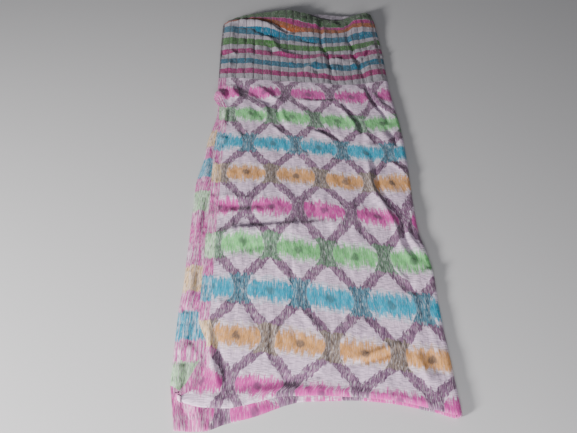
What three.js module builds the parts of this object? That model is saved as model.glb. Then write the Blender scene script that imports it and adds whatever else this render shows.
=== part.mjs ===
// Long woven scarf, lying folded in four: once across, which makes the two cross folds at the near
// edge, and once along its length, which makes the fold down the right-hand side.
// Millimetres. +X runs across to the lengthwise fold, +Y from the cross folds to the woven ends,
// +Z up. The origin is on the floor under the middle of the folded scarf.

import * as THREE from 'three';

// Driving sizes
const CLOTH = 2; // one layer of the puckered cloth, with its loft
const SEAM = 0.3; // clearance between neighbouring stretches and between layers
const STACK = 11; // top of the four layers where they lie calm
const LOWER_PAIR = 5; // top of the third layer, where its border shows
const FOLD_DEPTH = 14; // how far the cross folds reach back from the nose of the upper one
const ROLL_REACH = 6; // nose of a cross fold, from its tangent line
const SIDE_REACH = 8; // the same for the lengthwise fold
const EDGE_DROOP = 2.5; // the free left edge sinks this far on to the border below it
const DROOP_WIDTH = 14;
const DROOP_RUN = 60; // the droop comes in over this length behind the cross folds
const BEND_ROOM = 0.4; // least half height left inside the bend of a fold
const BEHIND_FOLDS = 4; // the hidden layers begin this far behind the cross folds
const END_BEND = 120; // the woven end lifts over this length
const LAYER_GROOVE = 5; // depth of the groove between the two hidden layers at the far end
const EDGE_ROUND = 1; // how far their rounded edges draw back above and below
const UNDER_INSET = 2; // the bottom layer lies this far inside the layer above it

// Fineness of the surfaces
const COLUMNS = 20;
const ROLL_STEPS = 6;
const CALM_STEP = 28;
const CRUMPLED_STEP = 14;
const BORDER_COLUMNS = 3;
const CORNER_STEPS = 2;
const HIDDEN_ROWS_LEFT_OUT = 1; // the hidden layers' far edge is shaped by itself past this row

// Noses of the two cross folds, across the near edge.
const CROSS_FOLDS = [
  { across: -200, upper: -446, lower: -491 },
  { across: -184, upper: -455, lower: -492 },
  { across: -151, upper: -464, lower: -494 },
  { across: -121, upper: -466, lower: -485 },
  { across: -80, upper: -459, lower: -476 },
  { across: -42, upper: -452, lower: -463 },
  { across: -13, upper: -452, lower: -458 },
  { across: 44, upper: -455, lower: -458 },
  { across: 101, upper: -461, lower: -463.5 },
  { across: 158, upper: -475, lower: -477 },
  { across: 192, upper: -483, lower: -486 },
];

// Left edge of the top layer. Its near corner reaches out to a point, and a small knob of crumpled
// cloth stands out where the pattern meets the stripes.
const TOP_EDGE = [
  { along: -450, left: -199 },
  { along: -441, left: -184 },
  { along: -423, left: -172 },
  { along: -397, left: -160 },
  { along: -373, left: -153 },
  { along: -354, left: -161 },
  { along: -332, left: -168 },
  { along: 20, left: -168 },
  { along: 105, left: -164 },
  { along: 145, left: -165 },
  { along: 181, left: -178 },
  { along: 205, left: -172 },
  { along: 390, left: -174 },
  { along: 455, left: -174 },
  { along: 475, left: -166 },
  { along: 490, left: -150 },
];

// Left edge of the two lower layers, which lie askew and show their border beside the top layer.
const LOWER_EDGE = [
  { along: -494, left: -189 },
  { along: -455, left: -187 },
  { along: -440, left: -199 },
  { along: -321, left: -200 },
  { along: -266, left: -197 },
  { along: -63, left: -196 },
  { along: 2, left: -186 },
  { along: 46, left: -183 },
  { along: 92, left: -175 },
  { along: 140, left: -168 },
  { along: 500, left: -168 },
];

// Outermost line of the lengthwise fold.
const SIDE_FOLD = [
  { along: -486, right: 192.8 },
  { along: -470, right: 193 },
  { along: -332, right: 194.5 },
  { along: -262, right: 198 },
  { along: -168, right: 189 },
  { along: -54, right: 195 },
  { along: 75, right: 200 },
  { along: 194, right: 195 },
  { along: 349, right: 198 },
  { along: 442, right: 195 },
  { along: 490, right: 190 },
];

// Where the woven pattern ends and the cross stripes begin.
const STRIPE_START = [
  { across: -170, along: 248 },
  { across: -63, along: 233 },
  { across: 26, along: 223 },
  { across: 105, along: 213 },
  { across: 200, along: 226 },
];

// Far end: where the top layer ends, how far its edge lifts, and where the hidden layers end.
const FAR_END = [
  { across: -176, end: 462, lift: 0, hidden: 444 },
  { across: -160, end: 478, lift: 1, hidden: 456 },
  { across: -141, end: 487, lift: 2, hidden: 466 },
  { across: -85, end: 492, lift: 7, hidden: 478 },
  { across: -17, end: 495, lift: 13, hidden: 484 },
  { across: 22, end: 488, lift: 9, hidden: 490 },
  { across: 66, end: 469, lift: 2, hidden: 495 },
  { across: 104, end: 461, lift: 1, hidden: 490 },
  { across: 145, end: 474, lift: 7, hidden: 476 },
  { across: 176, end: 483, lift: 9, hidden: 470 },
  { across: 192, end: 476, lift: 6, hidden: 464 },
];

// Main folds of the top layer: a ridge or a furrow along a straight run, with its half width.
const CREASES = [
  { name: 'crumple crest', x0: -88, y0: 180, x1: -30, y1: 128, half: 11, rise: 9 },
  { name: 'crumple valley', x0: -112, y0: 172, x1: -54, y1: 108, half: 11, rise: -3 },
  { name: 'crumple shoulder', x0: -150, y0: 216, x1: -124, y1: 140, half: 12, rise: 5 },
  { name: 'edge knob', x0: -172, y0: 188, x1: -158, y1: 176, half: 12, rise: 6 },
  { name: 'star pucker', x0: 58, y0: 262, x1: 94, y1: 228, half: 11, rise: 5 },
  { name: 'star arm', x0: 58, y0: 262, x1: 44, y1: 304, half: 11, rise: 3 },
  { name: 'upright crease', x0: 147, y0: 320, x1: 136, y1: 162, half: 11, rise: -3.5 },
  { name: 'drag fold, far', x0: 100, y0: 163, x1: 124, y1: 20, half: 12, rise: 5 },
  { name: 'drag fold, middle', x0: 124, y0: 20, x1: 154, y1: -110, half: 12, rise: 5 },
  { name: 'drag fold, near', x0: 154, y0: -110, x1: 184, y1: -250, half: 13, rise: 6 },
  { name: 'drag furrow', x0: 118, y0: -70, x1: 160, y1: -230, half: 12, rise: -3 },
  { name: 'tuck, left', x0: -166, y0: -191, x1: -100, y1: -173, half: 10, rise: 4.5 },
  { name: 'tuck, right', x0: -100, y0: -173, x1: -12, y1: -165, half: 10, rise: 4 },
  { name: 'pinch', x0: 20, y0: -412, x1: 108, y1: -386, half: 9, rise: 4.5 },
  { name: 'corner ridge', x0: -150, y0: -345, x1: -140, y1: -440, half: 11, rise: 5 },
  { name: 'end ridge', x0: -138, y0: 458, x1: -24, y1: 415, half: 13, rise: 6 },
];

// Where the folds crowd together, so that the surfaces take finer steps along the scarf.
const CRUMPLED = { from: 90, to: 320 };

// The third layer's border puffs up in two places beside the top layer.
const BORDER_PUFFS = [
  { name: 'corner puff', x0: -193, y0: -424, x1: -191, y1: -404, half: 9, rise: 4 },
  { name: 'middle puff', x0: -186, y0: -300, x1: -184, y1: -240, half: 9, rise: 1.5 },
];

const COLOURS = {
  lilacWhite: 0xcdc3cd,
  stripeWhite: 0xbfb8b8,
  pink: 0xcd5fa5,
  palePink: 0xe19bc8,
  plum: 0x785573,
};

const lerp = THREE.MathUtils.lerp;
const clamp = THREE.MathUtils.clamp;
const smoothstep = THREE.MathUtils.smoothstep;

// The value of one column of a table at a place along another, on a curve with no overshoot.
function follow(table, place, value, at) {
  const last = table.length - 1;
  const spot = clamp(at, table[0][place], table[last][place]);
  let row = 0;
  while (row < last - 1 && table[row + 1][place] < spot) row += 1;
  const span = table[row + 1][place] - table[row][place];
  const t = (spot - table[row][place]) / span;
  const slopeIn = slopeAt(table, place, value, row) * span;
  const slopeOut = slopeAt(table, place, value, row + 1) * span;
  const start = table[row][value];
  const finish = table[row + 1][value];
  return (
    (2 * t ** 3 - 3 * t ** 2 + 1) * start +
    (t ** 3 - 2 * t ** 2 + t) * slopeIn +
    (3 * t ** 2 - 2 * t ** 3) * finish +
    (t ** 3 - t ** 2) * slopeOut
  );
}

function slopeAt(table, place, value, row) {
  if (row === 0 || row === table.length - 1) return 0;
  const [before, here, after] = [table[row - 1], table[row], table[row + 1]];
  const left = (here[value] - before[value]) / (here[place] - before[place]);
  const right = (after[value] - here[value]) / (after[place] - here[place]);
  return left * right > 0 ? (2 * left * right) / (left + right) : 0;
}

// Height that a list of ridges and furrows adds at a point.
function creaseHeight(creases, x, y) {
  let height = 0;
  for (const crease of creases) {
    const runX = crease.x1 - crease.x0;
    const runY = crease.y1 - crease.y0;
    const onRun = ((x - crease.x0) * runX + (y - crease.y0) * runY) / (runX ** 2 + runY ** 2);
    const t = clamp(onRun, 0, 1);
    const away = Math.hypot(x - crease.x0 - t * runX, y - crease.y0 - t * runY);
    height += crease.rise * Math.exp(-((away / crease.half) ** 2));
  }
  return height;
}

const upperNose = (x) => follow(CROSS_FOLDS, 'across', 'upper', x);
const lowerNose = (x) => follow(CROSS_FOLDS, 'across', 'lower', x);
const topLeft = (y) => follow(TOP_EDGE, 'along', 'left', y);
const lowerLeft = (y) => follow(LOWER_EDGE, 'along', 'left', y);
const sideFold = (y) => follow(SIDE_FOLD, 'along', 'right', y);
const foldBack = (x) => upperNose(x) + FOLD_DEPTH;
const stripeStart = (x) => follow(STRIPE_START, 'across', 'along', x);
const farEnd = (x) => follow(FAR_END, 'across', 'end', x);
const hiddenEnd = (x) => follow(FAR_END, 'across', 'hidden', x);

// Upper face of the top layer.
function topHeight(x, y) {
  const end = farEnd(x);
  const lift = follow(FAR_END, 'across', 'lift', x) * smoothstep(y, end - END_BEND, end);
  const fromEdge = Math.max(x - topLeft(y), 0);
  const behindFold = smoothstep(y - foldBack(x), 0, DROOP_RUN);
  const droop = EDGE_DROOP * behindFold * Math.exp(-fromEdge / DROOP_WIDTH);
  return STACK + lift + creaseHeight(CREASES, x, y) - droop;
}

// Inner edge of the lengthwise fold, where the flat stretches meet it.
const sideSeam = (y) => sideFold(y) - SIDE_REACH - SEAM;

// A place a share of the way between two edges, on the line across that alongAt gives.
function place(share, alongAt, leftAt, rightAt = sideSeam) {
  let y = alongAt(0);
  let x = 0;
  for (let turn = 0; turn < 8; turn += 1) {
    x = lerp(leftAt(y), rightAt(y), share);
    y = alongAt(x);
  }
  return { x, y };
}

const shares = (count) => Array.from({ length: count + 1 }, (_, step) => step / count);

// Shares of the way from one line along the scarf to the next, with finer steps where it crumples.
function rowShares(from, to) {
  const rows = [from];
  while (rows.at(-1) < to) {
    const here = rows.at(-1);
    const crumpled = here > CRUMPLED.from && here < CRUMPLED.to;
    rows.push(here + (crumpled ? CRUMPLED_STEP : CALM_STEP));
  }
  return rows.map((row) => (row - from) / (rows.at(-1) - from));
}

const BODY_ROWS = rowShares(-446, 226);
const END_ROWS = rowShares(226, 480);

// Lines across the scarf that the rows of points follow, from the cross folds to the far end.
const BODY_LINES = BODY_ROWS.map((row) => (x) => lerp(foldBack(x) + SEAM, stripeStart(x), row));
const END_LINES = END_ROWS.map((row) => (x) => lerp(stripeStart(x) + SEAM, farEnd(x), row));

// Points down one column of the top layer's upper face, from near to far.
function topColumn(share, lines) {
  return lines.map((line) => {
    const { x, y } = place(share, line, topLeft);
    return new THREE.Vector3(x, y, topHeight(x, y));
  });
}

const lowered = (points, drop) => points.map((p) => new THREE.Vector3(p.x, p.y, p.z - drop));

// The same points on the bottom layer, with the seam's clearance.
const onFloor = (points) => points.map((p) => new THREE.Vector3(p.x, p.y, CLOTH + SEAM));

// A closed body of cloth through sections, each with as many points on its outer face as on its
// inner one. Strips of faces join section to section, and fill in the first and the last. Both
// faces are split along the same diagonals, so that stacked layers keep their clearance.
function clothSolid(name, sections, colour, roughness) {
  const rings = sections.map(({ outer, inner }) => [...outer, ...inner.slice().reverse()]);
  const count = rings[0].length;
  const index = [];
  const strip = (a, b, c, d) => index.push(a, b, c, a, c, d);
  for (let row = 0; row + 1 < rings.length; row += 1) {
    for (let step = 0; step < count; step += 1) {
      const here = row * count + step;
      const next = row * count + ((step + 1) % count);
      if (step < count / 2) strip(here, next, next + count, here + count);
      else strip(next, next + count, here + count, here);
    }
  }
  const last = (rings.length - 1) * count;
  for (let step = 0; step + 1 < count / 2; step += 1) {
    const [outer, inner] = [step, count - 1 - step];
    strip(outer, inner, inner - 1, outer + 1);
    strip(last + outer, last + outer + 1, last + inner - 1, last + inner);
  }
  const positions = rings.flat().flatMap((p) => [p.x, p.y, p.z]);
  const geometry = new THREE.BufferGeometry();
  geometry.setAttribute('position', new THREE.Float32BufferAttribute(positions, 3));
  geometry.setIndex(volumeOf(positions, index) < 0 ? index.reverse() : index);
  geometry.computeVertexNormals();
  return clothMesh(name, geometry, colour, roughness);
}

// Volume inside the faces, which is below zero where they point in.
function volumeOf(positions, index) {
  const corner = (n) => new THREE.Vector3().fromArray(positions, 3 * n);
  let sixfold = 0;
  for (let n = 0; n < index.length; n += 3) {
    sixfold += corner(index[n]).dot(corner(index[n + 1]).cross(corner(index[n + 2])));
  }
  return sixfold / 6;
}

function clothMesh(name, geometry, colour, roughness) {
  const material = new THREE.MeshStandardMaterial({ color: colour, roughness, metalness: 0 });
  const mesh = new THREE.Mesh(geometry, material);
  mesh.name = name;
  return mesh;
}

// The top layer between two sets of lines: a wall of cloth over the hidden layers.
function topStretch(name, lines, colour) {
  const sections = shares(COLUMNS).map((share) => {
    const outer = topColumn(share, lines);
    return { outer, inner: lowered(outer, CLOTH) };
  });
  return clothSolid(name, sections, colour, 0.9);
}

// Half round of a fold's wall, from its top to its foot: how far out and how high each point is.
function rollWall(reach, low, high, wall) {
  return shares(ROLL_STEPS).map((step) => {
    const turn = Math.PI * step;
    const across = (reach - wall) * Math.sin(turn);
    const up = Math.max((high - low) / 2 - wall, BEND_ROOM) * Math.cos(turn);
    return { out: across, up: (high + low) / 2 + up };
  });
}

// A cross fold: two layers that join round its nose and reach back to the other stretches. low is
// the level that it lies on.
function crossFold(name, noseAt, leftAt, low, heightAt, colour) {
  const sections = shares(COLUMNS).map((share) => {
    const back = place(share, foldBack, leftAt);
    const tangent = place(share, (x) => noseAt(x) + ROLL_REACH, leftAt);
    const high = heightAt(back.x, back.y);
    const [outer, inner] = [0, CLOTH].map((wall) => [
      new THREE.Vector3(back.x, back.y, high - wall),
      ...rollWall(ROLL_REACH, low, high, wall).map(
        ({ out, up }) => new THREE.Vector3(tangent.x, tangent.y - out, up),
      ),
      new THREE.Vector3(back.x, back.y, low + wall),
    ]);
    return { outer, inner };
  });
  return clothSolid(name, sections, colour, 0.9);
}

function lengthwiseFold() {
  const cornerLines = shares(CORNER_STEPS).map(
    (share) => (x) => lerp(lowerNose(x) + ROLL_REACH / 2, foldBack(x), share),
  );
  const lines = [...cornerLines, ...BODY_LINES, ...END_LINES];
  const sections = lines.map((line) => {
    const { x, y } = place(1, line, topLeft);
    const high = topHeight(x, y);
    const [outer, inner] = [0, CLOTH].map((wall) =>
      rollWall(SIDE_REACH, 0, high, wall).map(
        ({ out, up }) => new THREE.Vector3(x + SEAM + out, y, up),
      ),
    );
    return { outer, inner };
  });
  return clothSolid('lengthwise_fold', sections, COLOURS.lilacWhite, 0.9);
}

// Left side of the hidden layers, which is the second column of points of the top layer.
const hiddenLeft = (y) => lerp(topLeft(y), sideSeam(y), 1 / COLUMNS);

function borderStrip() {
  const nearest = (x) => foldBack(x) + EDGE_ROUND;
  const lines = [nearest, ...BODY_LINES.slice(1), ...END_LINES.slice(0, -HIDDEN_ROWS_LEFT_OUT)];
  const rightAt = (y) => hiddenLeft(y) - EDGE_ROUND;
  const sections = lines.map((line) => {
    const outer = shares(BORDER_COLUMNS).map((share) => {
      const { x, y } = place(share, line, lowerLeft, rightAt);
      return new THREE.Vector3(x, y, LOWER_PAIR + creaseHeight(BORDER_PUFFS, x, y));
    });
    return { outer, inner: onFloor(outer) };
  });
  return clothSolid('border_strip', sections, COLOURS.palePink, 0.9);
}

// The bottom layer, a flat wall of cloth inside the outline of the layers on it.
function underLayer() {
  const leftAt = (y) => lowerLeft(y) + UNDER_INSET;
  const nearLine = (x) => foldBack(x) + SEAM;
  const farLine = (x) => hiddenEnd(x) - UNDER_INSET;
  const sides = [...BODY_LINES.slice(1), ...END_LINES.slice(0, -HIDDEN_ROWS_LEFT_OUT)];
  const outline = [
    ...shares(COLUMNS).map((share) => place(share, nearLine, leftAt)),
    ...sides.map((line) => place(1, line, leftAt)),
    ...shares(COLUMNS).reverse().map((share) => place(share, farLine, leftAt)),
    ...sides.reverse().map((line) => place(0, line, leftAt)),
  ];
  const shape = new THREE.Shape(outline.map(({ x, y }) => new THREE.Vector2(x, y)));
  const geometry = new THREE.ExtrudeGeometry(shape, { depth: CLOTH, bevelEnabled: false });
  return clothMesh('under_layer', geometry, COLOURS.lilacWhite, 0.9);
}

// The second and third layers, as one rounded body under the top layer. At the far end the two
// come apart into rounded edges with a groove between them.
function hiddenLayers() {
  const lines = [...BODY_LINES, ...END_LINES.slice(0, -HIDDEN_ROWS_LEFT_OUT)];
  const sections = shares(COLUMNS).slice(1).map((share) => {
    const top = lowered(topColumn(share, lines), CLOTH + SEAM);
    top[0].lerp(top[1], BEHIND_FOLDS / CALM_STEP);
    top[0].z -= EDGE_ROUND;
    const bottom = onFloor(top);
    const end = place(share, hiddenEnd, topLeft);
    const above = lowered(topColumn(share, END_LINES.slice(-1)), CLOTH + SEAM)[0];
    const high = Math.min(above.z, top.at(-1).z) - EDGE_ROUND;
    const low = bottom[0].z;
    const middle = (high + low) / 2;
    const edgePoint = ({ back, up }) => new THREE.Vector3(end.x, end.y - back, up);
    const upperEdge = [
      { back: EDGE_ROUND, up: high },
      { back: 0, up: (high + middle) / 2 },
      { back: LAYER_GROOVE, up: middle + SEAM },
    ];
    const lowerEdge = [
      { back: EDGE_ROUND, up: low },
      { back: 0, up: (low + middle) / 2 },
      { back: LAYER_GROOVE, up: middle - SEAM },
    ];
    return {
      outer: [...top, ...upperEdge.map(edgePoint)],
      inner: [...bottom, ...lowerEdge.map(edgePoint)],
    };
  });
  return clothSolid('hidden_layers', sections, COLOURS.plum, 0.95);
}

const scarf = new THREE.Group();
scarf.name = 'long_scarf';
scarf.add(
  topStretch('patterned_stretch', BODY_LINES, COLOURS.lilacWhite),
  topStretch('striped_end', END_LINES, COLOURS.stripeWhite),
  crossFold('upper_cross_fold', upperNose, topLeft, LOWER_PAIR + SEAM, topHeight, COLOURS.pink),
  crossFold('lower_cross_fold', lowerNose, lowerLeft, 0, () => LOWER_PAIR, COLOURS.pink),
  lengthwiseFold(),
  borderStrip(),
  underLayer(),
  hiddenLayers(),
);

export default scarf;
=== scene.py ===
import math
from typing import NamedTuple

import bmesh
import bpy
import numpy as np
from mathutils import Matrix, Vector, noise


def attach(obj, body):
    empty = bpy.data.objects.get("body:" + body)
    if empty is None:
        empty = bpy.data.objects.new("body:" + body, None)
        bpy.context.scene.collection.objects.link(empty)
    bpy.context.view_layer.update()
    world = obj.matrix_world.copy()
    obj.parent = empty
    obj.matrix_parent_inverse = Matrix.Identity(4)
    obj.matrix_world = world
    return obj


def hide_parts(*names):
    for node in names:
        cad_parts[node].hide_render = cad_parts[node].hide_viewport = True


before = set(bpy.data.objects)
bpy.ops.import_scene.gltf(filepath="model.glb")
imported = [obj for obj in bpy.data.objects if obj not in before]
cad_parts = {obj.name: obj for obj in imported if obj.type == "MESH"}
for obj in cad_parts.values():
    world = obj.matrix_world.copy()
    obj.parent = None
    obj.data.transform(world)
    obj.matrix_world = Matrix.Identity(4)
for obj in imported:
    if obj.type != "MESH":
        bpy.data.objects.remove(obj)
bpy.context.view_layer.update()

# Long woven scarf, lying folded in four: once across, which makes the two cross folds at the near
# edge, and once along its length, which makes the fold down the right-hand side. Metres, with +X
# across to the lengthwise fold, +Y from the cross folds to the woven ends and +Z up.

bl_info = {
    "name": "Folded long scarf",
    "version": (1, 0, 0),
    "blender": (4, 5, 0),
    "location": "View3D > Sidebar > Scarf",
    "description": "Builds a long woven scarf, lying folded in four, on a plain stage",
    "category": "Add Mesh",
}


# ---------------------------------------------------------------------------- sizes

MM = 0.001
STACK = 0.011  # top of the four layers where they lie calm
LOWER_PAIR = 0.005  # top of the third layer, where its border shows
LAYER_GAP = 0.0003  # clearance between the two cross folds
FOLD_DEPTH = 0.014  # how far the cross folds reach back from the nose of the upper one
ROLL_REACH = 0.006  # nose of a cross fold, from its tangent line
SIDE_REACH = 0.008  # the same for the lengthwise fold
EDGE_DROOP = 0.0025  # the free left edge sinks this far on to the border below it
DROOP_WIDTH = 0.014
DROOP_RUN = 0.060  # the droop comes in over this length behind the cross folds
END_BEND = 0.120  # the woven end lifts over this length
SECOND_LAYER_DROP = 0.0024  # the second layer's upper face lies this far under the top one's
SECOND_LAYER_INSET = 0.003  # and its free edges this far inside
UNDER_INSET = 0.002  # the bottom layer lies this far inside the layer above it
BORDER_DROOP = 0.0020  # the third layer's free edge sinks this far
BORDER_DROOP_WIDTH = 0.006
BORDER_DROOP_FROM, BORDER_DROOP_TO = -0.450, -0.400  # it comes in along this stretch
BORDER_UNDERLAP = 0.018  # the border strip runs this far under the top layer
UNDER_TOP = 0.0014  # upper face of the bottom layer
FLATTENED = 0.9  # length round a fold, as a share of a true half round's
LOWER_WRINKLES = 0.5  # how strongly the small wrinkles show on the lower layers
SIDE_NOSE_OUT = 0.001  # the lengthwise fold's near end stands out this far past the lower fold
HIDDEN_START = 0.004  # the hidden layers begin this far behind the cross folds
INNER_SEAM_INSET = 0.001  # and their turn lies this far inside the lengthwise fold's seam
INNER_TURN_REACH = 0.004
HIDDEN_FLAT, HIDDEN_TURN = 0.48, 0.04  # shares of the hidden sheet: each flat layer, the turn
HIDDEN_END_RUN = 0.050  # their far end thins and sags over this length
HIDDEN_END_THIN = 0.0012
HIDDEN_END_SAG = 0.0010
HIDDEN_END_WAVES = 70
PUCKER_DEPTH = 0.0009  # the dark threads of the striped end draw the cloth in this far
PUCKER_HALF = 0.0026
PUCKER_FADE = (-0.004, 0.010)  # the puckers come in here, past the start of the stripes

# The woven pattern, on the cloth laid flat
CELL = 0.0908  # from one oval to the next, across
ROW = 0.0805  # from one row of ovals to the next, along
BORDER = 0.017  # width of the woven border down a selvedge
BORDER_STRETCH = 2.8  # how much wider the border is on the third layer's selvedge
STRIPES_AT = 8.5 * ROW  # where the cross stripes begin
THREAD_PITCH = 0.0182  # between two of the dark lengthwise threads in the stripes
BORDER_START = 0.502  # where the third layer's border pattern is counted from
BORDER_ROW = 0.0803  # its rows, as they lie
LOWER_PINK_ROW = 0.470  # the pink row round the lower cross fold
SIDE_FROM_EDGE = 0.35  # how far the lengthwise fold lies from the selvedge
HIDDEN_FROM_EDGE = 0.2  # the same for the hidden layers, which show no border

CLOTH_END = 0.287  # where the cloth ends, past the start of the stripes

# Points of each grid, across and along
ACROSS = 160  # of the top layer
BODY_ROWS = 292
END_ROWS = 144
CROSS_FOLD_ROWS = 30
SIDE_COLUMNS = 14
BORDER_GRID = (20, 380)
HIDDEN_GRID = (120, 160)
UNDER_GRID = (60, 160)


def table(columns, *rows):
    """A table with named columns, the first of which is the place that each row stands for."""
    return dict(zip(columns.split(), np.array(rows, float).T))


# Noses of the two cross folds, across the near edge.
CROSS_FOLDS = table(
    "across upper lower",
    (-0.200, -0.446, -0.491),
    (-0.184, -0.455, -0.492),
    (-0.151, -0.464, -0.494),
    (-0.121, -0.466, -0.485),
    (-0.080, -0.459, -0.476),
    (-0.042, -0.452, -0.463),
    (-0.013, -0.452, -0.458),
    (0.044, -0.455, -0.458),
    (0.101, -0.461, -0.4635),
    (0.158, -0.475, -0.477),
    (0.192, -0.483, -0.486),
)

# Left edge of the top layer, with the pointed near corner and the knob of crumpled cloth.
TOP_EDGE = table(
    "along left",
    (-0.450, -0.199),
    (-0.441, -0.184),
    (-0.423, -0.172),
    (-0.397, -0.160),
    (-0.373, -0.153),
    (-0.354, -0.161),
    (-0.332, -0.168),
    (0.020, -0.168),
    (0.105, -0.164),
    (0.145, -0.165),
    (0.181, -0.178),
    (0.205, -0.172),
    (0.390, -0.174),
    (0.455, -0.174),
    (0.475, -0.166),
    (0.490, -0.150),
)

# Left edge of the two lower layers, which lie askew.
LOWER_EDGE = table(
    "along left",
    (-0.494, -0.189),
    (-0.455, -0.187),
    (-0.440, -0.199),
    (-0.321, -0.200),
    (-0.266, -0.197),
    (-0.063, -0.196),
    (0.002, -0.186),
    (0.046, -0.183),
    (0.092, -0.175),
    (0.140, -0.168),
    (0.500, -0.168),
)

# Outermost line of the lengthwise fold.
SIDE_FOLD = table(
    "along right",
    (-0.486, 0.1928),
    (-0.470, 0.193),
    (-0.332, 0.1945),
    (-0.262, 0.198),
    (-0.168, 0.189),
    (-0.054, 0.195),
    (0.075, 0.200),
    (0.194, 0.195),
    (0.349, 0.198),
    (0.442, 0.195),
    (0.490, 0.190),
)

# Where the lattice ends and the cross stripes begin.
STRIPE_START = table(
    "across along",
    (-0.170, 0.248),
    (-0.063, 0.233),
    (0.026, 0.223),
    (0.105, 0.213),
    (0.200, 0.226),
)

# Far end: where the top layer ends, how far its edge lifts, and where the layers under it end.
FAR_END = table(
    "across end lift hidden",
    (-0.176, 0.462, 0.000, 0.444),
    (-0.160, 0.478, 0.001, 0.456),
    (-0.141, 0.487, 0.002, 0.466),
    (-0.085, 0.492, 0.007, 0.478),
    (-0.017, 0.495, 0.013, 0.484),
    (0.022, 0.488, 0.009, 0.490),
    (0.066, 0.469, 0.002, 0.495),
    (0.104, 0.461, 0.001, 0.490),
    (0.145, 0.474, 0.007, 0.476),
    (0.176, 0.483, 0.009, 0.470),
    (0.192, 0.476, 0.006, 0.464),
)


class Crease(NamedTuple):
    """A ridge, or a furrow where rise is negative, along a route that fades out at both ends.
    Millimetres."""

    name: str
    half: float  # half its width
    rise: float
    route: tuple
    lean: float = 0  # how much wider the side to the right of its route is than the left one


def creases(*rows):
    """Creases, each from its name, half width, rise, route and, where it has one, its lean."""
    return tuple(Crease(*row) for row in rows)


NEAR_CREASES = creases(
    ("near roll", 6, 1.6, ((-118, -452), (-40, -443), (40, -448), (120, -461), (164, -473))),
    ("behind the roll", 8, -2.8, ((-122, -440), (-80, -434), (-40, -431), (-4, -433))),
    ("long pinch, dark side", 5, -2.8, ((-62, -426), (-30, -431), (8, -423), (36, -404), (60, -381),
        (84, -356), (105, -335), (130, -313), (158, -292))),
    ("long pinch, crest", 6, 4.0, ((28, -394), (50, -370), (66, -355), (79, -340))),
    ("long pinch, far crest", 6, 2.4, ((92, -338), (110, -322), (128, -306), (150, -288))),
    ("short pinch", 4, 3.4, ((56, -404), (85, -396), (106, -388), (126, -379))),
    ("short pinch, dark side", 4, -2.4, ((38, -413), (80, -406), (112, -395), (150, -378))),
    ("small ridge", 5, 1.7, ((-20, -320), (0, -345), (9, -358))),
    ("corner ridge", 5, 4.6, ((-153, -343), (-149, -368), (-145, -392), (-138, -418),
        (-130, -444))),
    ("corner furrow", 5, -2.0, ((-140, -350), (-135, -385), (-128, -410), (-120, -440))),
    ("corner wrinkle", 6, 2.4, ((-174, -430), (-162, -408), (-157, -384))),
    ("corner dimple", 5, -2.4, ((-165, -442), (-158, -422), (-151, -404))),
    ("corner tip", 6, 2.2, ((-150, -448), (-140, -456), (-116, -458))),
    ("left upright furrow", 3.5, -1.8, ((-58, -343), (-60, -378), (-59, -412))),
    ("left upright ridge", 4, 1.3, ((-52, -345), (-53, -375), (-51, -400))),
    ("middle upright furrow", 3.5, -1.5, ((-27, -238), (-26, -280), (-27, -322))),
    ("next upright furrow", 3, -1.1, ((-14, -262), (-15, -322))),
    ("right near swell", 9, 3.0, ((146, -398), (152, -425), (168, -448))),
    ("right near dip", 8, -2.2, ((164, -392), (168, -412), (172, -430))),
    ("bulge, near crest", 5, 2.4, ((136, -248), (146, -268), (159, -290))),
    ("bulge crest", 7, 4.2, ((158, -284), (175, -268), (192, -256))),
    ("bulge foot", 5, -2.4, ((150, -288), (163, -299), (177, -290), (189, -276))),
    ("near dimple", 7, -1.8, ((-50, -418), (-38, -424))),
    ("left dimple", 6, -1.6, ((-94, -322), (-86, -338), (-80, -352))),
    ("left crinkle", 5, 1.8, ((-142, -300), (-136, -312), (-120, -306))),
)

MIDDLE_CREASES = creases(
    ("tuck", 15, 6.6, ((-178, -193), (-150, -181), (-120, -173), (-80, -170), (-14, -165)), 0.30),
    ("tuck's far end", 10, 2.8, ((-60, -169), (-20, -165), (20, -160), (68, -159)), 0.3),
    ("tuck's foot", 6, -2.2, ((-164, -228), (-130, -218), (-95, -207), (-60, -201), (-14, -188))),
    ("behind the tuck", 8, -2.2, ((-112, -161), (-70, -157), (-38, -155))),
    ("second fold", 7, 2.4, ((-172, -133), (-130, -133), (-85, -130), (-56, -132))),
    ("second furrow", 7, -2.8, ((-152, -114), (-110, -116), (-80, -115), (-52, -116))),
    ("third fold", 8, 2.6, ((-172, -96), (-130, -97), (-90, -104))),
    ("drag fold", 6, 4.8, ((125, 4), (121, -50), (123, -84), (130, -110), (139, -132), (146, -154),
        (151, -182), (153, -206), (160, -230), (175, -250))),
    ("drag furrow", 4.5, -3.4, ((135, 4), (131, -50), (134, -82), (141, -104), (150, -128),
        (157, -150), (162, -182), (164, -204), (171, -224), (186, -240))),
    ("side ridge", 5, 3.2, ((188, -112), (184, -140), (176, -160), (168, -176), (172, -195),
        (179, -210), (185, -234))),
    ("right ridge", 5, 2.8, ((158, -16), (172, -27), (182, -40), (186, -62))),
    ("right furrow", 4, -2.2, ((170, -6), (150, -32), (140, -50))),
    ("far upright furrow", 3, -1.2, ((-50, -6), (-51, -50), (-50, -86))),
    ("upright furrow", 5, -1.8, ((12, -98), (18, -124), (16, -156))),
    ("lit bump", 7, 2.2, ((70, -64), (84, -67))),
    ("upright nick", 4, -1.9, ((92, -164), (95, -185), (106, -204))),
    ("swell beside the drag fold", 12, 2.4, ((100, -150), (126, -158), (138, -172))),
    ("left upright", 4, 1.5, ((-160, -8), (-159, -60))),
    ("left upright dip", 5, -1.6, ((-164, -76), (-160, -92))),
)

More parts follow.
